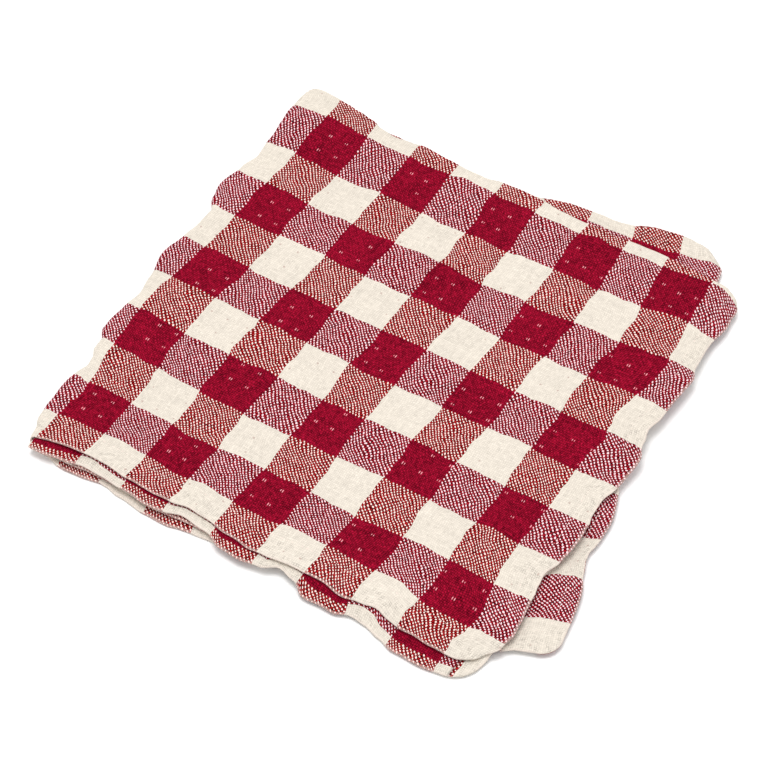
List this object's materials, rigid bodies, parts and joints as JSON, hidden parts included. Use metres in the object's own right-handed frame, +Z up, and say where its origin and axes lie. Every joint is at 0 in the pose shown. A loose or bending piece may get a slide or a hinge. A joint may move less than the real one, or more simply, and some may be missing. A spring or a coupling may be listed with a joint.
{
  "type": "folded cloth napkin",
  "caption": "Square checked gauze napkin with turned hems, folded twice into a square and laid flat, its lower pair of layers turned a little against the upper pair.",
  "frame": {"origin": "on the resting surface, under the middle of the folded napkin's bounding box", "axes": "+Z up from the resting surface; +X across the top layer, from the side fold to its hem on the right; +Y from the top layer's front hem to the back fold"},
  "size_m": [0.2872, 0.2926, 0.0094],
  "materials": {
    "checked_gauze": "crimson and cream checked cotton double gauze, softly crinkled, matt"
  },
  "bodies": {
    "root": {"napkin": "checked_gauze"}
  },
  "joints": []
}
